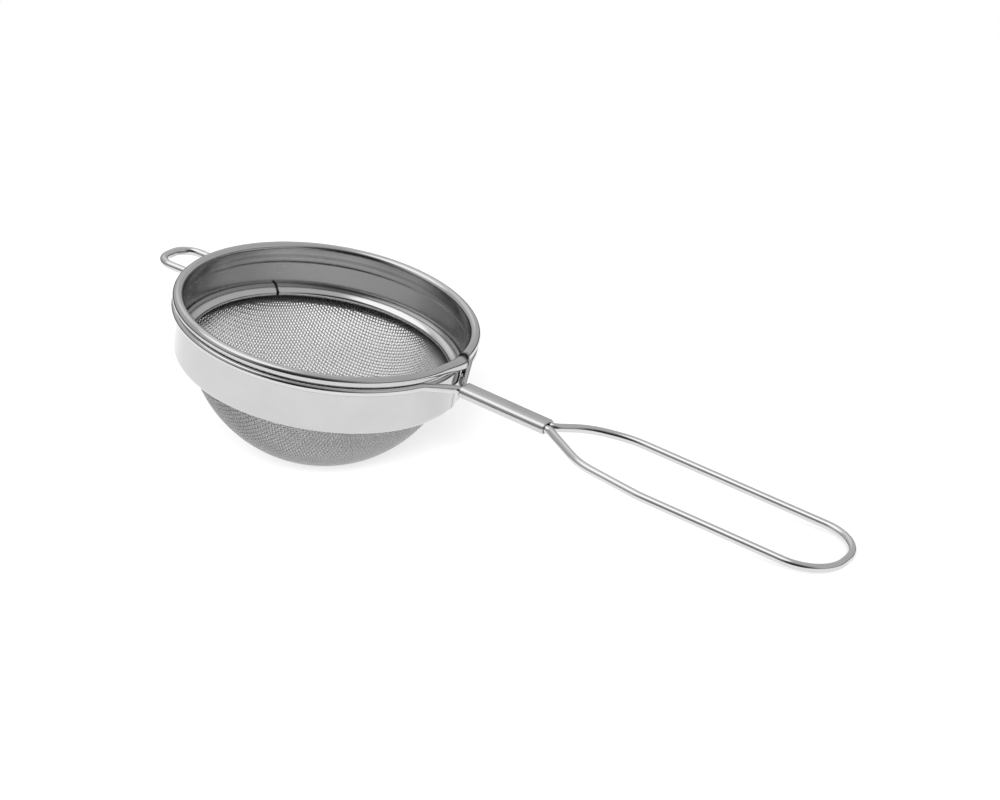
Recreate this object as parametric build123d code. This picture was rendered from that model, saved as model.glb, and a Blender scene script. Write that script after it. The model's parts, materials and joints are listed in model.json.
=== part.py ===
from build123d import *
import math
import os

# Tea strainer: a bowl of woven wire cloth held in a rolled sheet-steel rim band by a pressed-in
# ring. One bent wire goes round the rim, forms the rest ear at the front, and comes back through
# a crimped sleeve as the long loop handle. All lengths are in millimetres, angles in degrees.
#
# Each piece is drawn on the strainer's own axes: Z is the bowl's axis, Z = 0 is the middle of the
# rolled bead, and +X points along the handle. The set is then laid down the way it rests on a
# table, on the bottom of the bowl and on the end of the handle, with the table at Z = 0.

# Rim band
SHEET = 0.5                 # thickness of the band's sheet
RIM_R = 40.0                # outer radius of the rolled bead
BEAD_R = 1.4                # outer radius of the bead's own section
BEAD_CURL = 290             # how far the bead is rolled round
WALL_R = 38.0               # outer radius of the band's wall
NECK_R = 37.44              # outer radius of the neck that the wire lies in
NECK_LOW = -3.0             # height where the neck starts to widen
NECK_TURN_R = 0.9           # radius of the two bends between neck and wall
FLARE_LOW = -2.5            # height where the neck starts to lean out towards the bead
FLARE_BEND_R = 2.0          # radius of the bend there
FLARE_TURN = 6              # how far it leans out
BAND_LOW = -15.5            # lowest point of the band
CORNER_R = 1.75             # outer radius of the turned-in bottom edge
SEAM_GAP = 1.2              # open width where the bead's two ends meet
SEAM_ANGLE = 8.5            # place of that seam, counted from the handle
RELIEF_R = 1.8              # radius of the relief hole that the open seam runs down to
RELIEF_Z = -5.6             # height of the relief hole's centre

# Retaining ring, a formed strip pressed in against the wall on the cloth's edge
RING_SHEET = 0.5            # thickness of the strip
RING_R = 37.47              # outer radius of its upright leg
RING_LEG_LOW = -11.45       # height where the leg starts
RING_LEG_HIGH = -10.65      # height where the leg bends over
RING_BEND_R = 0.4           # bend from leg to crown
RING_CROWN_R = 5.0          # radius of the rounded crown
RING_LIP_R = 0.55           # radius of the rolled-under inner edge
RING_TURNS = (98, 32, 110)  # turn of the bend, of the crown and of the lip
RING_GAP = 0.7              # open width at its butt joint
RING_SEAM_ANGLE = 146.0     # place of that joint, counted from the handle

# Mesh bowl, a cap of a sphere with a trapped edge
CLOTH = 0.5                 # thickness over two crossing wires
BOWL_R = 35.4               # outer radius of the sphere
BOWL_Z = -5.0               # height of the sphere's centre
EDGE_Z = -13.6              # height where the cloth leaves the sphere
EDGE_BEND_R = 1.6           # bend from the sphere to the flat edge
EDGE_TURN = 60              # turn of that bend
EDGE_R = 36.9               # radius that the trapped edge reaches

# Wire, one length from the end of the loop round the rim and back
WIRE_R = 1.1                # radius of the wire
HOOP_R = 38.85              # centreline radius round the rim
HOOP_Z = -2.65              # centreline height round the rim
EAR_TIP = -51.0             # where the ear's centreline ends
EAR_Z = -3.15               # centreline height of the ear's tip
EAR_HALF = 6.1              # half width of the ear, to the centreline
EAR_BEND_R = 5.0            # bend at each corner of the ear
EAR_ROOT_R = 2.6            # bend where the ear meets the rim
EAR_ANGLE = 167.3           # where the wire leaves the rim for the ear, counted from the handle
HANDLE_Z = -4.7             # centreline height of the handle
EXIT_ANGLE = 19             # where each end leaves the rim, counted from the handle
EXIT_RUN = 1.6              # short straight run before it dips towards the sleeve
EXIT_BEND_R = 6.0           # bend at the end of that run
PAIR_X = 42.0               # where the two wires turn to lie side by side
PAIR_Y = 1.15               # half the spacing of the two wires
PAIR_BEND_R = 2.6           # bend there
SPREAD_X = 69.8             # where the two wires part beyond the sleeve
SPREAD_BEND_R = 3.0         # bend there
LEG_BEND_R = 18.0           # first bend back towards the handle's line
LEG_EASE_R = 26.0           # second, easy bend
FAR_LEG = ((76.0, 7.9), (86.0, 11.7))      # the far leg's two turns
NEAR_LEG = ((83.7, 10.2), (102.0, 12.5))   # the near leg's, which was bent by hand a little later
LOOP_END = 152.2            # where the loop's centreline ends
LOOP_HALF = 12.1            # half width of the loop, to the centreline
LOOP_BEND_R = 11.0          # bend at each corner of the loop's end

# Sleeve crimped over the two wires
SLEEVE_START = 43.4
SLEEVE_END = 68.6
SLEEVE_SHEET = 0.4          # thickness of its sheet
SLEEVE_WIDE = 5.6           # outside width of the flattened section
SLEEVE_HIGH = 3.1           # outside height of the flattened section


def spin(section, gap, gap_radius, gap_angle):
    """Turn a section round Z, leaving a gap of that width at that radius and angle."""
    turn = 360 - math.degrees(gap / gap_radius)
    return Rot(0, 0, gap_angle + (360 - turn) / 2) * revolve(section, Axis.Z, turn)


def strip_section(path, thickness):
    """Section of a formed strip: its middle line, thickened by the same amount on both sides."""
    return make_face(Wire(path.edges()).offset_2d(thickness / 2, side=Side.BOTH))


def rim_band():
    """Formed strip: turned-in bottom edge, wall, neck for the wire, and outward-rolled bead. Its
    seam is welded flush up the wall, and left open through the neck and the bead."""
    corner = CORNER_R - SHEET / 2
    wall = WALL_R - SHEET / 2
    neck = NECK_R - SHEET / 2
    bead = BEAD_R - SHEET / 2
    lean = math.degrees(math.acos(1 - (wall - neck) / (2 * NECK_TURN_R)))
    wall_top = NECK_LOW - 2 * NECK_TURN_R * math.sin(math.radians(lean))
    with BuildLine(Plane.XZ) as path:
        edge = CenterArc((wall - corner, BAND_LOW + CORNER_R), corner, -90, 90)
        side = Line(edge @ 1, (wall, wall_top))
        first = JernArc(side @ 1, (0, 1), NECK_TURN_R, lean)
        second = JernArc(first @ 1, first % 1, NECK_TURN_R, -lean)
        upright = Line(second @ 1, (neck, FLARE_LOW))
        flare = JernArc(upright @ 1, (0, 1), FLARE_BEND_R, -FLARE_TURN)
        reach = (bead * math.sin(math.radians(FLARE_TURN)) - (flare @ 1).Z) / (flare % 1).Z
        lean_out = Line(flare @ 1, flare @ 1 + flare % 1 * reach)
        JernArc(lean_out @ 1, flare % 1, bead, FLARE_TURN - BEAD_CURL)
    band = Rot(0, 0, 180) * revolve(strip_section(path.line, SHEET), Axis.Z)
    relief = Pos(WALL_R, 0, RELIEF_Z) * Rot(0, 90, 0) * Cylinder(RELIEF_R, 8 * SHEET)
    slit_high = 2 * BEAD_R - RELIEF_Z
    slit = Pos(RIM_R, 0, RELIEF_Z + slit_high / 2) * Box(6 * BEAD_R, SEAM_GAP, slit_high)
    return Rot(0, 0, SEAM_ANGLE) * (band - relief - slit)


def retaining_ring():
    """Formed strip: upright leg, rounded crown and rolled-under lip that holds the cloth down."""
    bend_turn, crown_turn, lip_turn = RING_TURNS
    leg_r = RING_R - RING_SHEET / 2
    with BuildLine(Plane.XZ) as path:
        leg = Line((leg_r, RING_LEG_LOW), (leg_r, RING_LEG_HIGH))
        bend = JernArc(leg @ 1, leg % 1, RING_BEND_R, bend_turn)
        crown = JernArc(bend @ 1, bend % 1, RING_CROWN_R, crown_turn)
        JernArc(crown @ 1, crown % 1, RING_LIP_R, lip_turn)
    section = strip_section(path.line, RING_SHEET)
    return spin(section, RING_GAP, RING_R, RING_SEAM_ANGLE)


def mesh_bowl():
    """Woven cloth as a thin closed shell: a cap of a sphere, flared out to its trapped edge."""
    middle = BOWL_R - CLOTH / 2
    drop = math.degrees(math.asin((BOWL_Z - EDGE_Z) / middle))
    with BuildLine(Plane.XZ) as path:
        cap = CenterArc((0, BOWL_Z), middle, -90, 90 - drop)
        bend = JernArc(cap @ 1, cap % 1, EDGE_BEND_R, -EDGE_TURN)
        reach = (EDGE_R - (bend @ 1).X) / (bend % 1).X
        Line(bend @ 1, bend @ 1 + bend % 1 * reach)
    section = strip_section(path.line, CLOTH)
    past_axis = Plane.XZ * Pos(-RIM_R / 2, 0) * Rectangle(RIM_R, 4 * RIM_R)
    return revolve(section - past_axis, Axis.Z)


def wire_half(side, leg_turns):
    """Half of the bent wire, from the ear's tip round one side of the rim to the loop's end."""
    part = math.radians(EAR_ANGLE)
    part_x = HOOP_R * math.cos(part)
    part_y = HOOP_R * math.sin(part)
    root_x = part_x + (part_y - EAR_HALF) * math.tan(part)
    leave = math.radians(EXIT_ANGLE)
    exit_x = HOOP_R * math.cos(leave)
    exit_y = HOOP_R * math.sin(leave)
    ear = [
        (EAR_TIP, 0, EAR_Z),
        (EAR_TIP, EAR_HALF, EAR_Z),
        (root_x, EAR_HALF, HOOP_Z),
        (part_x, part_y, HOOP_Z),
    ]
    legs = [
        (exit_x, exit_y, HOOP_Z),
        (exit_x + EXIT_RUN * math.sin(leave), exit_y - EXIT_RUN * math.cos(leave), HOOP_Z),
        (PAIR_X, PAIR_Y, HANDLE_Z),
        (SPREAD_X, PAIR_Y, HANDLE_Z),
        (*leg_turns[0], HANDLE_Z),
        (*leg_turns[1], HANDLE_Z),
        (LOOP_END, LOOP_HALF, HANDLE_Z),
        (LOOP_END, 0, HANDLE_Z),
    ]
    bends = [EXIT_BEND_R, PAIR_BEND_R, SPREAD_BEND_R, LEG_BEND_R, LEG_EASE_R, LOOP_BEND_R]
    with BuildLine() as path:
        FilletPolyline(*ear, radius=[EAR_BEND_R, EAR_ROOT_R])
        CenterArc((0, 0, HOOP_Z), HOOP_R, EAR_ANGLE, EXIT_ANGLE - EAR_ANGLE)
        FilletPolyline(*legs, radius=bends)
    section = Plane((EAR_TIP, 0, EAR_Z), z_dir=(0, 1, 0)) * Circle(WIRE_R)
    half = sweep(section, path=Wire(path.edges()))
    return half if side > 0 else mirror(half, about=Plane.XZ)


def handle_wire():
    return wire_half(1, FAR_LEG) + wire_half(-1, NEAR_LEG)


def sleeve():
    """Flattened tube crimped over the two wires between rim and loop."""
    outside = SlotOverall(SLEEVE_WIDE, SLEEVE_HIGH)
    inside = SlotOverall(SLEEVE_WIDE - 2 * SLEEVE_SHEET, SLEEVE_HIGH - 2 * SLEEVE_SHEET)
    mouth = Plane((SLEEVE_START, 0, HANDLE_Z), x_dir=(0, 1, 0), z_dir=(1, 0, 0))
    return extrude(mouth * (outside - inside), SLEEVE_END - SLEEVE_START)


def rest_tilt():
    """Tilt that brings the bowl and the end of the handle down to the same level."""
    reach = math.hypot(LOOP_END, HANDLE_Z - BOWL_Z)
    lead = math.atan2(HANDLE_Z - BOWL_Z, LOOP_END)
    return math.degrees(math.asin((BOWL_R - WIRE_R) / reach) + lead)


def lay_down(pieces):
    """Tilt the set, stand it on Z = 0 and centre it over the origin."""
    tilted = {name: Rot(0, rest_tilt(), 0) * piece for name, piece in pieces.items()}
    box = Compound([*tilted.values()]).bounding_box()
    middle = box.center()
    move = Pos(-middle.X, -middle.Y, -box.min.Z)
    return {name: move * piece for name, piece in tilted.items()}


def build():
    pieces = {
        "rim_band": rim_band(),
        "retaining_ring": retaining_ring(),
        "mesh_bowl": mesh_bowl(),
        "handle_wire": handle_wire(),
        "sleeve": sleeve(),
    }
    return lay_down(pieces)


os.makedirs("parts", exist_ok=True)
for name, piece in build().items():
    export_step(piece, f"parts/{name}.step")
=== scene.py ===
import json
import math

import bpy
import numpy as np
from mathutils import Matrix, Vector


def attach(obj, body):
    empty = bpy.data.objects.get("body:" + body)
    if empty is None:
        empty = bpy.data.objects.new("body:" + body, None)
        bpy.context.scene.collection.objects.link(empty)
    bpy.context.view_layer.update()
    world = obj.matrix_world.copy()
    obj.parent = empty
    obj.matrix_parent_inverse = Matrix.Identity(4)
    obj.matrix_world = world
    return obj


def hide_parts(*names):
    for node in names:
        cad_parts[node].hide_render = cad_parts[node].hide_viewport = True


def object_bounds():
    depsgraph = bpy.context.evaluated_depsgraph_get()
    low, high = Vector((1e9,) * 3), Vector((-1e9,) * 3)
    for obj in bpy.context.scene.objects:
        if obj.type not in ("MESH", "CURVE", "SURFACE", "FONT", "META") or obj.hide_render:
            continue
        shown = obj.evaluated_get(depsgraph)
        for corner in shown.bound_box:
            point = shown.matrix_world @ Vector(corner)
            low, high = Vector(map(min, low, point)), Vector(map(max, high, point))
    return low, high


# Looks of the tea strainer. Each piece is drawn on the strainer's own axes, in millimetres: Z is
# the bowl's axis, Z = 0 is the middle of the rolled bead, and +X points along the handle. Every
# piece is then carried into the row frame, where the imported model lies. Angles are in degrees.

MM = 0.001

# Rim band
SHEET = 0.5
RIM_R = 40.0
BEAD_R = 1.4
BEAD_CURL = 290
WALL_R = 38.0
NECK_R = 37.44
NECK_LOW = -3.0
NECK_TURN_R = 0.9
FLARE_LOW = -2.5
FLARE_BEND_R = 2.0
FLARE_TURN = 6
BAND_LOW = -15.5
CORNER_R = 1.75
SEAM_GAP = 1.2
SEAM_ANGLE = 8.5
RELIEF_R = 1.8
RELIEF_Z = -5.6

# Retaining ring
RING_SHEET = 0.5
RING_R = 37.47
RING_LEG_LOW = -11.45
RING_LEG_HIGH = -10.65
RING_BEND_R = 0.4
RING_CROWN_R = 5.0
RING_LIP_R = 0.55
RING_TURNS = (98, 32, 110)
RING_GAP = 0.7
RING_SEAM_ANGLE = 146.0

# Woven bowl
CLOTH = 0.5
BOWL_R = 35.4
BOWL_Z = -5.0
EDGE_Z = -13.6
EDGE_BEND_R = 1.6
EDGE_TURN = 60
EDGE_R = 36.9
PITCH = 0.84                # distance between neighbouring wires of the cloth
CLOTH_WIRE_R = 0.17         # radius of the cloth's wire
CLOTH_ANGLE = 8.7           # turn of the warp from the handle's direction
CLOTH_OUTER_SHADE = 0.55          # painted shade on the cloth's outer face, which is darkened and made rougher
CREASE = 6.5                # width of the painted shade along the cloth's edge, in the crease under the ring
CREASE_FADE = 1.6           # how steeply that edge darkens

# Wire
WIRE_R = 1.1
HOOP_R = 38.85
HOOP_Z = -2.65
EAR_TIP = -51.0
EAR_Z = -3.15
EAR_HALF = 6.1
EAR_BEND_R = 5.0
EAR_ROOT_R = 2.6
EAR_ANGLE = 167.3
HANDLE_Z = -4.7
EXIT_ANGLE = 19
EXIT_RUN = 1.6
EXIT_BEND_R = 6.0
PAIR_X = 42.0
PAIR_Y = 1.15
PAIR_BEND_R = 2.6
SPREAD_X = 69.8
SPREAD_BEND_R = 3.0
LEG_BEND_R = 18.0
LEG_EASE_R = 26.0
FAR_LEG = ((76.0, 7.9), (86.0, 11.7))
NEAR_LEG = ((83.7, 10.2), (102.0, 12.5))
LOOP_END = 152.2
LOOP_HALF = 12.1
LOOP_BEND_R = 11.0

# Sleeve
SLEEVE_START = 43.4
SLEEVE_END = 68.6
SLEEVE_SHEET = 0.4
SLEEVE_WIDE = 5.6
SLEEVE_HIGH = 3.1

# Mesh detail and wear
EDGE_ROUND = 0.12           # rounding of a cut sheet's edges
EDGE_TURNS = (75, 45, 15, -15, -45, -75)    # directions of the points round such an edge
BEVEL_STEPS = 4             # steps of the rounding at a sheet's cut ends
BAND_STEP = 0.2             # distance between the band's rings
RING_STEP = 0.12            # and the retaining ring's
BOWL_STEP = 0.1             # distance between the points of the bowl's middle line
LEAST_BEND_STEPS = 3        # fewest steps in a bend
BEND_FINENESS = 4           # least radius, in steps, that a bend's own steps are counted for
BAND_WOBBLE = 0.06          # how far the band is out of round
RING_WOBBLE = 0.03          # and the retaining ring
WOBBLE_PHASES = (1.1, 0.4)  # where its two- and three-sided parts lie, in radians
OPENED_TURN = 14            # how far from the seam the bead's near end starts to open out
OPENED_GROWTH = 0.38        # how much wider its section has become at the seam
OPENED_SAG = 0.44           # and how far it has dropped
SPIN_COLUMNS = 360          # columns round a spun strip
RIPPLE = 0.2                # how far the sheet waves in and out beyond the seam, drawn by the weld
RIPPLE_TURN = 8             # length of one wave
RIPPLE_REACH = 36           # how far round the waves go before they have died away
SEAM_SHADE_FADE = 1.5             # how steeply the painted shade by a seam fades to the bright steel
BAND_SEAM_SHADE = (9.0, 1.3)      # how far from the seam the band is painted dark as shade, inside and outside
RING_SEAM_SHADE = (0.12, 0.12)    # and the ring
UNPOLISHED = 0.2            # dullness of their inner faces
WEAVE_STEPS = 4             # rings of a cloth wire's mesh in each pitch
WEAVE_SIDES = 6             # sides of a cloth wire's mesh
WEAVE_GROUPS = 4            # meshes that each of the cloth's two wire directions is split into
WIRE_SIDES = 28
WIRE_STEP = 0.45            # distance between the rings of the wire's mesh
WIRE_BEND_STEP = 0.1        # distance between the points of its centre line in a bend
WIRE_ARC_STEP = 5           # and round the rim, as degrees times the radius
WIRE_SAME = WIRE_STEP / 1000    # points closer than this are one
SLEEVE_RINGS = 60
SLEEVE_SIDES = 64
SLEEVE_FLATNESS = 3         # how quickly the sleeve's section passes over its flat sides


# ---------------------------------------------------------------- frame

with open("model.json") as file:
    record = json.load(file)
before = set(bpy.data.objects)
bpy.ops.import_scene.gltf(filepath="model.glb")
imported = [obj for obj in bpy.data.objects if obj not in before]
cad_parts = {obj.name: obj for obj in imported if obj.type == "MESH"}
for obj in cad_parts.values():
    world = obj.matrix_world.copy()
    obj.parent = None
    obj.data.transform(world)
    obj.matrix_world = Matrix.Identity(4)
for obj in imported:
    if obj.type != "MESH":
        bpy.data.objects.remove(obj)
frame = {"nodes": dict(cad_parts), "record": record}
cad_box = [list(corner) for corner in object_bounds()]


def strainer_axes():
    """Matrix from the strainer's own axes, in mm, to the row frame, in metres."""
    seat = next(m for m in frame["record"]["mounts"] if m["name"] == "rim_seat")
    up = -Vector(seat["axis"]).normalized()
    foot = Vector(seat["pos_m"])
    top = max((v.co - foot).dot(up) for v in frame["nodes"]["rim_band"].data.vertices)
    across = Vector((0, 1, 0))
    turn = Matrix((across.cross(up), across, up)).transposed().to_4x4()
    return Matrix.Translation(foot + up * (top - BEAD_R * MM)) @ turn @ Matrix.Scale(MM, 4)


AXES = np.array(strainer_axes())


# ---------------------------------------------------------------- mesh helpers

def add_piece(name, points, face_groups, grain, material, node, dull_and_painted_shade=None):
    """Make a smooth mesh from points in strainer axes, arrays of faces and a grain coordinate in
    mm for each point, and let it stand for the CAD node. The last argument is 1 where the steel is
    painted darkest and roughest: it holds painted shade, and the lesser dullness of inner faces."""
    world = points @ AXES[:3, :3].T + AXES[:3, 3]
    loops = np.concatenate([g.ravel() for g in face_groups])
    sizes = np.concatenate([np.full(len(g), g.shape[1]) for g in face_groups])
    mesh = bpy.data.meshes.new(name)
    mesh.vertices.add(len(world))
    mesh.vertices.foreach_set("co", world.astype(np.float32).ravel())
    mesh.loops.add(len(loops))
    mesh.loops.foreach_set("vertex_index", loops.astype(np.int32))
    mesh.polygons.add(len(sizes))
    mesh.polygons.foreach_set("loop_start", (np.cumsum(sizes) - sizes).astype(np.int32))
    mesh.polygons.foreach_set("loop_total", sizes.astype(np.int32))
    mesh.update(calc_edges=True)
    mesh.validate()
    mesh.shade_smooth()
    layer = mesh.uv_layers.new(name="grain")
    layer.data.foreach_set("uv", grain[loops].astype(np.float32).ravel())
    dull_and_painted_shade = np.zeros(len(world)) if dull_and_painted_shade is None else dull_and_painted_shade
    dull_and_shade_layer = mesh.attributes.new("dull_and_painted_shade", "FLOAT", "POINT")
    dull_and_shade_layer.data.foreach_set("value", dull_and_painted_shade.astype(np.float32))
    mesh.materials.append(material)
    piece = bpy.data.objects.new(name, mesh)
    bpy.context.scene.collection.objects.link(piece)
    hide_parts(node)
    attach(piece, "root")
    return piece


def grid_faces(rows, columns, wrap_rows=False, wrap_columns=False, first=0):
    """Quads of a grid of points numbered row by row."""
    i = np.arange(rows if wrap_rows else rows - 1)
    j = np.arange(columns if wrap_columns else columns - 1)
    i, j = (a.ravel() for a in np.meshgrid(i, j, indexing="ij"))
    k, m = (i + 1) % rows, (j + 1) % columns
    corners = (i * columns + j, i * columns + m, k * columns + m, k * columns + j)
    return first + np.stack(corners, axis=1)


def unit(vectors):
    return vectors / np.linalg.norm(vectors, axis=-1, keepdims=True)


# ---------------------------------------------------------------- spun strips

def trace(start, heading, moves, step):
    """Middle line of a bent strip as points and headings. A move is a length straight on, or a
    bend's (radius, turn), with the turn positive to the left."""
    x, z = start
    a = math.radians(heading)
    rows = [(x, z, a)]
    for move in moves:
        if isinstance(move, tuple):
            radius, turn = move[0], math.radians(move[1])
            fine = max(radius, BEND_FINENESS * step)
            count = max(LEAST_BEND_STEPS, math.ceil(abs(turn) * fine / step))
            side = math.copysign(radius, turn)
            cx, cz = x - side * math.sin(a), z + side * math.cos(a)
            for b in np.linspace(a, a + turn, count + 1)[1:]:
                rows.append((cx + side * math.sin(b), cz - side * math.cos(b), b))
        else:
            count = max(1, math.ceil(move / step))
            for d in np.linspace(0, move, count + 1)[1:]:
                rows.append((x + d * math.cos(a), z + d * math.sin(a), a))
        x, z, a = rows[-1]
    return np.array(rows)


def strip_outline(path, thickness):
    """Closed outline of a strip: middle points and the offsets from them. It starts halfway down
    the strip's first edge, so that its two halves are the strip's two faces."""
    half = thickness / 2
    ahead = np.stack([np.cos(path[:, 2]), np.sin(path[:, 2])], axis=1)
    left = np.stack([-ahead[:, 1], ahead[:, 0]], axis=1)
    middle = path[:, :2]
    turns = np.radians(EDGE_TURNS)
    along = EDGE_ROUND * np.cos(turns)
    across = np.sign(turns) * (half - EDGE_ROUND + EDGE_ROUND * np.abs(np.sin(turns)))
    last_edge = along[:, None] * ahead[-1] + across[:, None] * left[-1]
    first_edge = -along[:, None] * ahead[0] - across[:, None] * left[0]
    count = len(turns)
    first, last = np.repeat(middle[:1], count, 0), np.repeat(middle[-1:], count, 0)
    spots = [middle, last, middle[::-1], first]
    offsets = [left * half, last_edge, -left[::-1] * half, first_edge]
    return (np.roll(np.concatenate(part), count // 2, axis=0) for part in (spots, offsets))


def spun_strip(node, material, path, thickness, half_gap, seam_angle, wobble, formed, hollow,
               seam_shade):
    """Spin a strip's outline round Z, with rounded edges at the two ends that meet at its seam.
    half_gap gives half the seam's width at each height, and the strip is closed where that is 0.
    wobble is how far it is out of round. formed gives the middle line at each angle, and hollow
    is the circle (radius, height, size) inside which the rolled strip is painted dark, as painted
    shade in the bead's hollow. The last argument is how far from the seam its inner and its outer
    face are painted dark, as painted shade."""
    middle, offset = strip_outline(path, thickness)
    bevel = np.radians(np.linspace(0, 90, BEVEL_STEPS))
    ease = EDGE_ROUND * (1 - np.cos(bevel))
    thin = (1 - np.sin(bevel)) * EDGE_ROUND / (thickness / 2)
    inner = np.linspace(0, 1, SPIN_COLUMNS + 2)[1:-1]
    share = np.concatenate([np.zeros(BEVEL_STEPS), inner, np.ones(BEVEL_STEPS)])[:, None]
    even = np.full(SPIN_COLUMNS, EDGE_ROUND)
    from_end = np.concatenate([ease, even, ease[::-1]])[:, None]
    thinned = np.concatenate([thin, np.zeros(SPIN_COLUMNS), thin[::-1]])[:, None]
    gap = half_gap(middle[:, 1])
    is_open = gap > 0
    first = (gap + from_end) / RIM_R
    turn = first + share * (2 * math.pi - 2 * first)
    section = formed(middle, turn) + (1 - thinned * is_open)[..., None] * offset
    radius, height = section[..., 0], section[..., 1]
    two, three = WOBBLE_PHASES
    radius = radius - wobble * (2 - np.cos(2 * turn + two) - np.cos(3 * turn + three)) / 4
    place = turn + math.radians(seam_angle)
    points = np.stack([radius * np.cos(place), radius * np.sin(place), height], axis=-1)
    columns, count = radius.shape
    low = np.arange(count // 2 - 1)
    low = low[is_open[low] | is_open[low + 1]]
    cap = np.stack([count - 1 - low, count - 2 - low, low + 1, low], axis=1)
    skin = grid_faces(columns, count, wrap_columns=True)
    faces = [skin, cap[:, ::-1], cap + (columns - 1) * count]
    weld = np.arange(columns * count)
    weld[(columns - 1) * count:][~is_open] = np.flatnonzero(~is_open)
    outline = middle + offset
    run = np.cumsum(np.linalg.norm(np.diff(outline, axis=0, prepend=outline[:1]), axis=1))
    grain = np.stack([turn * RIM_R, np.broadcast_to(run, turn.shape)], axis=-1)
    # Painted shade: dark inside the bead's hollow and on the faces by the seam; the inner faces are
    # also dulled a little
    far = np.hypot(outline[:, 0] - hollow[0], outline[:, 1] - hollow[1])
    inside = (np.arange(count) < count // 2) & (middle[:, 1] < -BEAD_R)
    seam_shade_reach = np.where(inside, seam_shade[0], np.where(is_open, seam_shade[1], EDGE_ROUND))
    from_seam = np.minimum(turn, 2 * math.pi - turn) * RIM_R - gap
    dull_and_painted_shade = np.clip(SEAM_SHADE_FADE - SEAM_SHADE_FADE * from_seam / seam_shade_reach, 0, 1)
    dull_and_painted_shade = np.maximum(far < hollow[2], dull_and_painted_shade)
    dull_and_painted_shade = np.maximum(dull_and_painted_shade, UNPOLISHED * inside)
    return add_piece(node + "_formed", points.reshape(-1, 3), [weld[f] for f in faces],
                     grain.reshape(-1, 2), material, node, dull_and_painted_shade.ravel())


def as_drawn(middle, turn):
    return np.broadcast_to(middle, (len(turn), *middle.shape))


def opened_bead(middle, turn):
    """The bead opens out and sags a little towards the near end of its seam, and the sheet below
    it is rippled beyond the seam."""
    near = np.clip(1 - np.degrees(2 * math.pi - turn) / OPENED_TURN, 0, 1)
    amount = near**2 * (3 - 2 * near)
    radius, height = middle[:, 0], middle[:, 1]
    root = RIM_R - 2 * BEAD_R
    grow = OPENED_GROWTH * amount * ((height > NECK_LOW / 2) & (radius > root))
    sag = OPENED_SAG * amount * np.clip(1 - height / NECK_LOW, 0, 1)
    beyond = np.degrees(turn)
    ripple = RIPPLE * np.sin(2 * math.pi * beyond / RIPPLE_TURN)
    ripple = ripple * np.clip(1 - beyond / RIPPLE_REACH, 0, 1)
    ripple = ripple * np.clip(-height - BEAD_R, 0, 1)
    return np.stack([radius + grow * (radius - root) + ripple, height * (1 + grow) - sag], axis=-1)


def band_half_gap(height):
    """Half the seam's width: a slit down to the round relief hole, and closed below that."""
    hole = np.sqrt(np.clip(RELIEF_R**2 - (height - RELIEF_Z) ** 2, 0, None))
    return np.where(height > RELIEF_Z, np.maximum(SEAM_GAP / 2, hole), hole)


def ring_half_gap(height):
    return np.full(height.shape, RING_GAP / 2)


def rim_band(material):
    """Turned-in bottom edge, wall, neck for the wire, and outward-rolled bead."""
    corner = CORNER_R - SHEET / 2
    wall = WALL_R - SHEET / 2
    neck = NECK_R - SHEET / 2
    bead = BEAD_R - SHEET / 2
    flare = math.radians(FLARE_TURN)
    lean = math.degrees(math.acos(1 - (wall - neck) / (2 * NECK_TURN_R)))
    wall_top = NECK_LOW - 2 * NECK_TURN_R * math.sin(math.radians(lean))
    moves = [
        (corner, 90),
        wall_top - BAND_LOW - CORNER_R,
        (NECK_TURN_R, lean),
        (NECK_TURN_R, -lean),
        FLARE_LOW - NECK_LOW,
        (FLARE_BEND_R, -FLARE_TURN),
        (bead - FLARE_BEND_R) * math.tan(flare) - FLARE_LOW / math.cos(flare),
        (bead, FLARE_TURN - BEAD_CURL),
    ]
    path = trace((wall - corner, BAND_LOW + SHEET / 2), 0, moves, BAND_STEP)
    return spun_strip("rim_band", material, path, SHEET, band_half_gap, SEAM_ANGLE,
                      BAND_WOBBLE, opened_bead, (RIM_R - BEAD_R, 0, bead), BAND_SEAM_SHADE)


def retaining_ring(material):
    """Upright leg, rounded crown, and rolled-under lip that holds the cloth down."""
    bend, crown, lip = RING_TURNS
    leg = RING_LEG_HIGH - RING_LEG_LOW
    moves = [leg, (RING_BEND_R, bend), (RING_CROWN_R, crown), (RING_LIP_R, lip)]
    path = trace((RING_R - RING_SHEET / 2, RING_LEG_LOW), 90, moves, RING_STEP)
    return spun_strip("retaining_ring", material, path, RING_SHEET, ring_half_gap,
                      RING_SEAM_ANGLE, RING_WOBBLE, as_drawn, (0, 0, 0), RING_SEAM_SHADE)


# ---------------------------------------------------------------- woven bowl

def cloth_net(radius, chord, count):
    """Crossings of a cloth of equal square cells laid over a sphere round the origin, out from its
    lowest point. Each new crossing mirrors the one before in the plane of its two neighbours."""
    size = 2 * count + 1
    net = np.full((size, size, 3), np.nan)
    for k in range(-count, count + 1):
        a = 2 * k * math.asin(chord / (2 * radius))
        net[k + count, count] = radius * np.array([math.sin(a), 0, -math.cos(a)])
        net[count, k + count] = radius * np.array([0, math.sin(a), -math.cos(a)])
    for si, sj in ((1, 1), (1, -1), (-1, 1), (-1, -1)):
        for i in range(1, size - count):
            for j in range(1, size - count):
                one = net[count + si * (i - 1), count + sj * j]
                two = net[count + si * i, count + sj * (j - 1)]
                old = net[count + si * (i - 1), count + sj * (j - 1)]
                flat = np.cross(one, two)
                flat = flat / np.linalg.norm(flat)
                new = old - 2 * (old @ flat) * flat
                if new[2] < 0:
                    net[count + si * i, count + sj * j] = new
    return net


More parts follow.
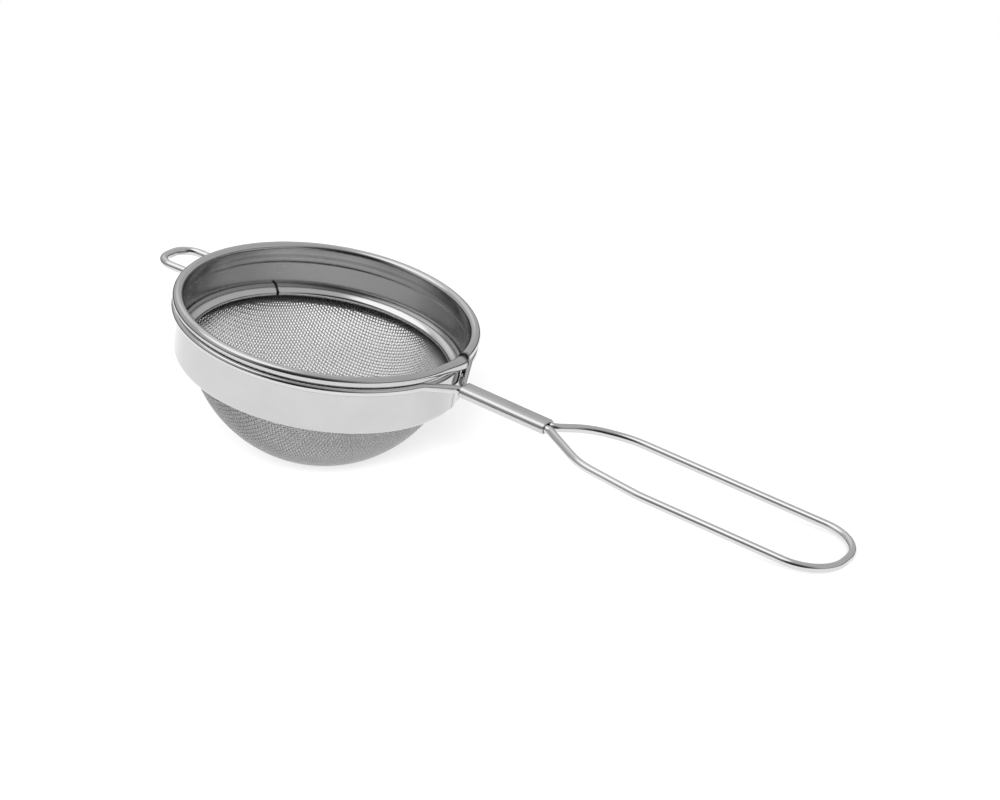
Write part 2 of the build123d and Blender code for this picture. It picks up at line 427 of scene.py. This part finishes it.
def bowl_profile():
    """Lengths from the bowl's lowest point, and the middle line's radius, height and heading."""
    middle = BOWL_R - CLOTH / 2
    drop = math.degrees(math.asin((BOWL_Z - EDGE_Z) / middle))
    moves = [(middle, 90 - drop), (EDGE_BEND_R, -EDGE_TURN)]
    path = trace((0, BOWL_Z - middle), 0, moves, BOWL_STEP)
    left = (EDGE_R - path[-1, 0]) / math.cos(path[-1, 2])
    path = trace((0, BOWL_Z - middle), 0, moves + [left], BOWL_STEP)
    run = np.concatenate([[0], np.cumsum(np.hypot(*np.diff(path[:, :2], axis=0).T))])
    return run, path


def lay_on_bowl(spots, lift, profile):
    """Carry points of the net's sphere to the bowl's own shape, lifted off its middle surface."""
    run, path = profile
    middle = BOWL_R - CLOTH / 2
    lift = lift + 2 * CLOTH_WIRE_R - CLOTH / 2
    flat = np.hypot(spots[..., 0], spots[..., 1])
    far = middle * np.arctan2(flat, -spots[..., 2])
    turn = np.arctan2(spots[..., 1], spots[..., 0]) + math.radians(CLOTH_ANGLE)
    radius, height, heading = (np.interp(far, run, path[:, k]) for k in range(3))
    radius = radius - lift * np.sin(heading)
    height = height + lift * np.cos(heading)
    points = np.stack([radius * np.cos(turn), radius * np.sin(turn), height], axis=-1)
    outward = np.stack([np.sin(heading) * np.cos(turn), np.sin(heading) * np.sin(turn),
                        -np.cos(heading)], axis=-1)
    return points, outward, far


def cloth_wires(net, profile, phase):
    """Centre lines of the cloth's wires in the net's first direction, each with its normals."""
    size = len(net)
    end = profile[0][-1]
    for i in range(1, size - 1):
        row = net[i]
        good = np.flatnonzero(~np.isnan(row[:, 0]))
        if len(good) < 2:
            continue
        place = np.arange(good[0], good[-1] + 1 / WEAVE_STEPS, 1 / WEAVE_STEPS)
        place = place[place <= good[-1]]
        spots = np.stack([np.interp(place, good, row[good, k]) for k in range(3)], axis=-1)
        lift = CLOTH_WIRE_R * np.cos(math.pi * (place + i + phase))
        points, outward, far = lay_on_bowl(spots, lift, profile)
        kept = far <= end
        if kept.sum() > WEAVE_STEPS:
            # painted shade, darkening the cloth towards its edge in the crease under the ring
            dull_and_painted_shade = np.clip(CREASE_FADE * (far[kept] - end) / CREASE + CREASE_FADE, 0, 1)
            yield points[kept], outward[kept], dull_and_painted_shade


def tubes(lines, radius, sides, closed=False, outer_shade=0.0):
    """Points, faces, grain coordinates and a mask of dullness and painted shade of round wires
    along lines of points, each with its normals and that mask. The last argument is the least
    painted shade on the side of each wire that its normals face."""
    points, faces, caps, grain, dull_and_shade_lists, count = [], [], [], [], [], 0
    angle = np.arange(sides) * 2 * math.pi / sides
    for line, normal, dull_and_painted_shade in lines:
        # painted shade on the half of each wire that faces outward
        dull_and_shade_lists.append(np.maximum(dull_and_painted_shade[:, None], outer_shade * (np.cos(angle) > 0)).ravel())
        ahead = np.roll(line, -1, 0) - np.roll(line, 1, 0) if closed else np.gradient(line, axis=0)
        across = unit(np.cross(unit(ahead), normal))
        over = np.cross(across, unit(ahead))
        cos, sin = np.cos(angle)[None, :, None], np.sin(angle)[None, :, None]
        spokes = cos * over[:, None] + sin * across[:, None]
        points.append((line[:, None] + radius * spokes).reshape(-1, 3))
        faces.append(grid_faces(len(line), sides, closed, True, count))
        run = np.cumsum(np.linalg.norm(np.diff(line, axis=0, prepend=line[:1]), axis=1))
        marks = np.broadcast_arrays(run[:, None], radius * angle[None])
        grain.append(np.stack(marks, -1).reshape(-1, 2))
        if not closed:
            ring = np.arange(sides)[None]
            caps += [ring[:, ::-1] + count, ring + count + (len(line) - 1) * sides]
        count += len(line) * sides
    faces = [np.concatenate(faces)] + caps
    return np.concatenate(points), faces, np.concatenate(grain), np.concatenate(dull_and_shade_lists)


def woven_bowl(material):
    """Plain weave of round wires, over and under by turns, split into meshes of moderate size."""
    profile = bowl_profile()
    count = math.ceil(profile[0][-1] / PITCH) + 2
    net = cloth_net(BOWL_R - CLOTH / 2, PITCH, count)
    pieces = []
    for family, crossings in (("warp", net), ("weft", net.transpose(1, 0, 2))):
        sign = 0 if family == "warp" else 1
        lines = list(cloth_wires(crossings, profile, sign))
        share = math.ceil(len(lines) / WEAVE_GROUPS)
        for group in range(WEAVE_GROUPS):
            points, faces, grain, dull_and_painted_shade = tubes(lines[group * share:(group + 1) * share],
                                               CLOTH_WIRE_R, WEAVE_SIDES, outer_shade=CLOTH_OUTER_SHADE)
            pieces.append(add_piece(f"cloth_{family}_{group + 1}", points, faces, grain, material,
                                    "mesh_bowl", dull_and_painted_shade))
    return pieces


# ---------------------------------------------------------------- wire and sleeve

def rounded(corners, radii):
    """Points along straight runs whose inner corners are rounded to those radii."""
    corners = np.array(corners, float)
    points = [corners[:1]]
    for before, corner, after, radius in zip(corners, corners[1:], corners[2:], radii):
        back, on = unit(before - corner), unit(after - corner)
        inside = math.acos(back @ on)
        centre = corner + unit(back + on) * radius / math.sin(inside / 2)
        reach = radius / math.tan(inside / 2)
        start, end = corner + back * reach - centre, corner + on * reach - centre
        sweep = math.pi - inside
        s = np.linspace(0, 1, 3 + int(radius * sweep / WIRE_BEND_STEP))[:, None]
        spokes = np.sin((1 - s) * sweep) * start + np.sin(s * sweep) * end
        points.append(centre + spokes / math.sin(sweep))
    return np.concatenate(points + [corners[-1:]])


def arc(centre, radius, start, end, height):
    count = 3 + int(abs(end - start) * radius / WIRE_ARC_STEP)
    turn = np.radians(np.linspace(start, end, count))
    return np.stack([centre[0] + radius * np.cos(turn), centre[1] + radius * np.sin(turn),
                     np.full(turn.shape, height)], axis=1)


def wire_half(leg_turns):
    """Half of the wire's centre line, on the +Y side, from the ear's tip to the loop's end."""
    part = math.radians(EAR_ANGLE)
    part_x, part_y = HOOP_R * math.cos(part), HOOP_R * math.sin(part)
    root_x = part_x + (part_y - EAR_HALF) * math.tan(part)
    leave = math.radians(EXIT_ANGLE)
    exit_x, exit_y = HOOP_R * math.cos(leave), HOOP_R * math.sin(leave)
    legs = [
        (exit_x, exit_y, HOOP_Z),
        (exit_x + EXIT_RUN * math.sin(leave), exit_y - EXIT_RUN * math.cos(leave), HOOP_Z),
        (PAIR_X, PAIR_Y, HANDLE_Z),
        (SPREAD_X, PAIR_Y, HANDLE_Z),
        (*leg_turns[0], HANDLE_Z),
        (*leg_turns[1], HANDLE_Z),
        (LOOP_END, LOOP_HALF, HANDLE_Z),
        (LOOP_END, 0, HANDLE_Z),
    ]
    bends = [EXIT_BEND_R, PAIR_BEND_R, SPREAD_BEND_R, LEG_BEND_R, LEG_EASE_R, LOOP_BEND_R]
    ear = [
        (EAR_TIP, 0, EAR_Z),
        (EAR_TIP, EAR_HALF, EAR_Z),
        (root_x, EAR_HALF, HOOP_Z),
        (part_x, part_y, HOOP_Z),
    ]
    return np.concatenate([
        rounded(ear, [EAR_BEND_R, EAR_ROOT_R]),
        arc((0, 0), HOOP_R, EAR_ANGLE, EXIT_ANGLE, HOOP_Z),
        rounded(legs, bends),
    ])


def handle_wire(material):
    """One closed round of wire: rest ear, rim, handle and loop."""
    near = wire_half(NEAR_LEG) * (1, -1, 1)
    path = np.concatenate([wire_half(FAR_LEG), near[::-1]])
    steps = np.linalg.norm(np.diff(path, axis=0, append=path[:1]), axis=1)
    path = path[steps > WIRE_SAME]
    run = np.concatenate([[0], np.cumsum(steps[steps > WIRE_SAME])])
    path = np.concatenate([path, path[:1]])
    count = round(run[-1] / WIRE_STEP)
    place = np.arange(count) * run[-1] / count
    line = np.stack([np.interp(place, run, path[:, k]) for k in range(3)], axis=1)
    upright = np.tile((0, 0, 1.0), (count, 1))
    wire = (line, upright, np.zeros(count))
    points, faces, grain, dull_and_painted_shade = tubes([wire], WIRE_R, WIRE_SIDES, True)
    return add_piece("handle_wire_drawn", points, faces, grain, material, "handle_wire",
                     dull_and_painted_shade)


def sleeve(material):
    """Flattened tube: rings of one flat-sided outline, out along the outside and back inside."""
    bevel = np.radians(np.linspace(0, 90, BEVEL_STEPS))
    depth = EDGE_ROUND * (1 - np.sin(bevel))
    from_end = EDGE_ROUND * (1 - np.cos(bevel))
    outside = np.linspace(SLEEVE_START + EDGE_ROUND, SLEEVE_END - EDGE_ROUND, SLEEVE_RINGS)[1:-1]
    x = np.concatenate([SLEEVE_START + from_end, outside, (SLEEVE_END - from_end)[::-1]])
    inset = np.concatenate([depth, np.zeros(len(outside)), depth[::-1]])
    x = np.concatenate([x, x[::-1]])
    inset = np.concatenate([inset, (SLEEVE_SHEET - inset)[::-1]])
    turn = np.radians(np.linspace(0, 360, SLEEVE_SIDES, endpoint=False))
    flat = (SLEEVE_WIDE - SLEEVE_HIGH) / 2
    radius = SLEEVE_HIGH / 2 - inset[:, None]
    y = radius * np.cos(turn) + flat * np.clip(SLEEVE_FLATNESS * np.cos(turn), -1, 1)
    z = radius * np.sin(turn) + HANDLE_Z
    points = np.stack([np.broadcast_to(x[:, None], y.shape), y, z], axis=-1)
    grain = np.stack(np.broadcast_arrays(x[:, None], turn * SLEEVE_HIGH / 2), -1)
    faces = [grid_faces(len(x), len(turn), True, True)]
    return add_piece("sleeve_crimped", points.reshape(-1, 3), faces, grain.reshape(-1, 2),
                     material, "sleeve")


# ---------------------------------------------------------------- materials

PATCH = 9.0                 # size of the patches where the steel was handled, in mm
LINES_RANGE = (0.12, 0.4)   # least and greatest value of the scratches times the patches
PATCH_RANGE = (0.3, 0.7)    # and of the patches alone
PATCH_TONE = 0.94           # brightness of the darkest patch
DULL_ROUGHNESS = 0.4        # how much rougher the steel is where the mask of dullness and painted shade is whole
SHADE_AND_DULL_LOSS = 0.93            # and how much darker its colour is painted there, as painted shade and dullness
SCRATCH_DEPTH = 0.01        # in mm


def node(tree, kind, inputs=(), **settings):
    """Add a shader node. inputs gives values or other nodes' outputs by socket name."""
    made = tree.nodes.new(kind)
    for name, value in settings.items():
        setattr(made, name, value)
    for name, value in dict(inputs).items():
        if isinstance(value, bpy.types.NodeSocket):
            tree.links.new(value, made.inputs[name])
        else:
            made.inputs[name].default_value = value
    return made


def steel(name, tone, roughness, spread, streak, bump):
    """Bright steel: long fine scratches with the grain, soft patches where it was handled, and
    roughness that changes with both. streak is the scratches' (length, width) in mm."""
    material = bpy.data.materials.new(name)
    material.use_nodes = True
    tree = material.node_tree
    shader = tree.nodes["Principled BSDF"]
    grain = node(tree, "ShaderNodeUVMap", uv_map="grain").outputs["UV"]
    stretched = node(tree, "ShaderNodeMapping", {
        "Vector": grain, "Scale": (1 / streak[0], 1 / streak[1], 1)})
    lines = node(tree, "ShaderNodeTexNoise", {
        "Vector": stretched.outputs["Vector"], "Scale": 1.0, "Detail": 5.0, "Roughness": 0.6})
    patches = node(tree, "ShaderNodeTexNoise", {
        "Vector": grain, "Scale": 1 / PATCH, "Detail": 4.0, "Roughness": 0.55})
    both = node(tree, "ShaderNodeMath", {
        0: lines.outputs["Fac"], 1: patches.outputs["Fac"]}, operation="MULTIPLY")
    rough = node(tree, "ShaderNodeMapRange", {
        "Value": both.outputs[0], "From Min": LINES_RANGE[0], "From Max": LINES_RANGE[1],
        "To Min": roughness - spread, "To Max": roughness + spread})
    dull_and_painted_shade = node(tree, "ShaderNodeAttribute", attribute_name="dull_and_painted_shade").outputs["Fac"]
    rougher = node(tree, "ShaderNodeMath", {
        0: dull_and_painted_shade, 1: DULL_ROUGHNESS, 2: rough.outputs["Result"]}, operation="MULTIPLY_ADD")
    tree.links.new(rougher.outputs[0], shader.inputs["Roughness"])
    shade = node(tree, "ShaderNodeMapRange", {
        "Value": patches.outputs["Fac"], "From Min": PATCH_RANGE[0], "From Max": PATCH_RANGE[1],
        "To Min": tone * PATCH_TONE, "To Max": tone})
    # painted shade: where the mask is whole, the base colour is darkened
    loss = node(tree, "ShaderNodeMath", {0: dull_and_painted_shade, 1: -SHADE_AND_DULL_LOSS, 2: 1.0}, operation="MULTIPLY_ADD")
    level = node(tree, "ShaderNodeMath", {
        0: shade.outputs["Result"], 1: loss.outputs[0]}, operation="MULTIPLY")
    colour = node(tree, "ShaderNodeCombineColor", {
        name: level.outputs[0] for name in ("Red", "Green", "Blue")})
    tree.links.new(colour.outputs["Color"], shader.inputs["Base Color"])
    relief = node(tree, "ShaderNodeBump", {
        "Height": lines.outputs["Fac"], "Strength": bump, "Distance": SCRATCH_DEPTH * MM})
    tree.links.new(relief.outputs["Normal"], shader.inputs["Normal"])
    shader.inputs["Metallic"].default_value = 1.0
    return material


# ---------------------------------------------------------------- studio

# Camera, seen from the middle of the CAD box
CAMERA_AZIMUTH = 32.4375    # from -Y towards +X
CAMERA_ELEVATION = 20.0
CAMERA_ROLL = -1.514
CAMERA_FAR = 701.1          # distance from the point that it looks at, in mm
CAMERA_LOOK = (2.62, 1.31, -0.82)   # that point, in mm from the middle
CAMERA_LENS = 100.8         # focal length, in mm on the film
FILM_WIDTH = 36.0
CAMERA_CLIP = (0.01, 50)    # nearest and farthest that it sees, in metres

# Floor and the light that falls on it
FLOOR_R = 0.4               # in metres
FLOOR_SIDES = 96
FLOOR_TONE = 0.16
FLOOR_GLOW = 0.62           # light that it gives off itself, which keeps its shadows pale
FLOOR_ROUGHNESS = 0.9
KEY_AZIMUTH = -60
KEY_ELEVATION = 25
KEY_SPREAD = 40
KEY_POWER = 19.0
WHITE = (1, 1, 1, 1)


def aim(thing, place, target, roll=0.0):
    """Point an object's -Z at the target, with its X level before the roll."""
    back = (Vector(place) - Vector(target)).normalized()
    thing.rotation_mode = "QUATERNION"
    turn = back.to_track_quat("Z", "Y").to_matrix() @ Matrix.Rotation(math.radians(roll), 3, "Z")
    thing.rotation_quaternion = turn.to_quaternion()
    thing.location = place


def camera():
    azimuth, elevation = math.radians(CAMERA_AZIMUTH), math.radians(CAMERA_ELEVATION)
    low, high = (Vector(corner) for corner in cad_box)
    target = (low + high) / 2 + Vector(CAMERA_LOOK) * MM
    level = math.cos(elevation)
    back = Vector((math.sin(azimuth) * level, -math.cos(azimuth) * level, math.sin(elevation)))
    lens = bpy.data.cameras.new("camera")
    lens.lens, lens.sensor_width = CAMERA_LENS, FILM_WIDTH
    lens.clip_start, lens.clip_end = CAMERA_CLIP
    thing = bpy.data.objects.new("camera", lens)
    bpy.context.scene.collection.objects.link(thing)
    aim(thing, target + back * CAMERA_FAR * MM, target, CAMERA_ROLL)
    bpy.context.scene.camera = thing


def floor():
    low = cad_box[0]
    bpy.ops.mesh.primitive_circle_add(vertices=FLOOR_SIDES, radius=FLOOR_R, fill_type="NGON",
                                      location=(0, 0, low[2]))
    ground = bpy.context.object
    ground.name = "floor"
    material = bpy.data.materials.new("floor_paper")
    material.use_nodes = True
    shader = material.node_tree.nodes["Principled BSDF"]
    shader.inputs["Base Color"].default_value = (FLOOR_TONE, FLOOR_TONE, FLOOR_TONE, 1)
    shader.inputs["Roughness"].default_value = FLOOR_ROUGHNESS
    shader.inputs["Specular IOR Level"].default_value = 0.0
    shader.inputs["Emission Color"].default_value = WHITE
    shader.inputs["Emission Strength"].default_value = FLOOR_GLOW
    ground.data.materials.append(material)


def toward(azimuth, elevation):
    """Direction, from degrees from +X towards +Y and degrees up."""
    a, e = math.radians(azimuth), math.radians(elevation)
    return math.cos(a) * math.cos(e), math.sin(a) * math.cos(e), math.sin(e)


def key_light():
    """Broad, low light from beside the camera. It lights the floor alone, and the set's soft
    shadow lies behind it."""
    light = bpy.data.lights.new("key", "SUN")
    light.energy = KEY_POWER
    light.angle = math.radians(KEY_SPREAD)
    thing = bpy.data.objects.new("key", light)
    thing.visible_glossy = False
    bpy.context.scene.collection.objects.link(thing)
    aim(thing, toward(KEY_AZIMUTH, KEY_ELEVATION), (0, 0, 0))


# Studio as the steel sees it
ROOM = 0.6                  # brightness outside the soft areas
HORIZON = 0.15              # share of the light that is left at table height
HORIZON_FADE = (0.07, 0.22)     # sine of the elevation where it starts to come back and is whole
# Soft areas: azimuth from +X towards +Y and elevation of the middle, radius of the even part and
# of the faded edge, and brightness
AREAS = (
    (-66, 15, 14, 55, 0.03),
    (-109, 2, 9, 20, 0.35),
    (-135, 68, 20, 29, 1.55),
    (137, 50, 12, 26, 0.95),
)


def surroundings():
    """White room for what is seen directly, and soft bright and dark areas in reflections."""
    world = bpy.data.worlds.new("studio")
    bpy.context.scene.world = world
    world.use_nodes = True
    tree = world.node_tree
    tree.nodes.clear()
    where = node(tree, "ShaderNodeTexCoord").outputs["Generated"]
    level = node(tree, "ShaderNodeValue").outputs[0]
    level.default_value = ROOM
    for azimuth, elevation, even, edge, value in AREAS:
        middle = toward(azimuth, elevation)
        facing = node(tree, "ShaderNodeVectorMath", {0: where, 1: middle}, operation="DOT_PRODUCT")
        inside = node(tree, "ShaderNodeMapRange", {
            "Value": facing.outputs["Value"], "From Min": math.cos(math.radians(edge)),
            "From Max": math.cos(math.radians(even))}, interpolation_type="SMOOTHSTEP")
        mixed = node(tree, "ShaderNodeMix", {0: inside.outputs["Result"], 2: level, 3: value})
        level = mixed.outputs[0]
    height = node(tree, "ShaderNodeSeparateXYZ", {"Vector": where}).outputs["Z"]
    height = node(tree, "ShaderNodeMath", {0: height}, operation="ABSOLUTE").outputs[0]
    clear = node(tree, "ShaderNodeMapRange", {
        "Value": height, "From Min": HORIZON_FADE[0], "From Max": HORIZON_FADE[1],
        "To Min": HORIZON, "To Max": 1.0},
        interpolation_type="SMOOTHSTEP").outputs["Result"]
    level = node(tree, "ShaderNodeMath", {0: level, 1: clear}, operation="MULTIPLY").outputs[0]
    studio = node(tree, "ShaderNodeBackground", {"Color": level, "Strength": 1.0})
    room = node(tree, "ShaderNodeBackground", {"Color": WHITE, "Strength": 1.0})
    path = node(tree, "ShaderNodeLightPath")
    mix = node(tree, "ShaderNodeMixShader", {0: path.outputs["Is Glossy Ray"], 1: room.outputs[0],
                                             2: studio.outputs[0]})
    node(tree, "ShaderNodeOutputWorld", {"Surface": mix.outputs[0]})


camera()
floor()
key_light()
surroundings()
bpy.context.scene.view_settings.view_transform = "Standard"

# Brightness, roughness and how far it varies, scratches' length and width in mm, and their bump
sheet_steel = steel("sheet_steel", 0.57, 0.16, 0.05, (14, 0.25), 0.2)
ring_steel = steel("ring_steel", 0.62, 0.13, 0.05, (10, 0.2), 0.15)
wire_steel = steel("wire_steel", 0.64, 0.12, 0.05, (20, 0.12), 0.15)
sleeve_steel = steel("sleeve_steel", 0.6, 0.22, 0.06, (8, 0.2), 0.2)
cloth_steel = steel("cloth_steel", 0.95, 0.38, 0.06, (1.5, 0.1), 0.1)
rim_band(sheet_steel)
retaining_ring(ring_steel)
woven_bowl(cloth_steel)
handle_wire(wire_steel)
sleeve(sleeve_steel)
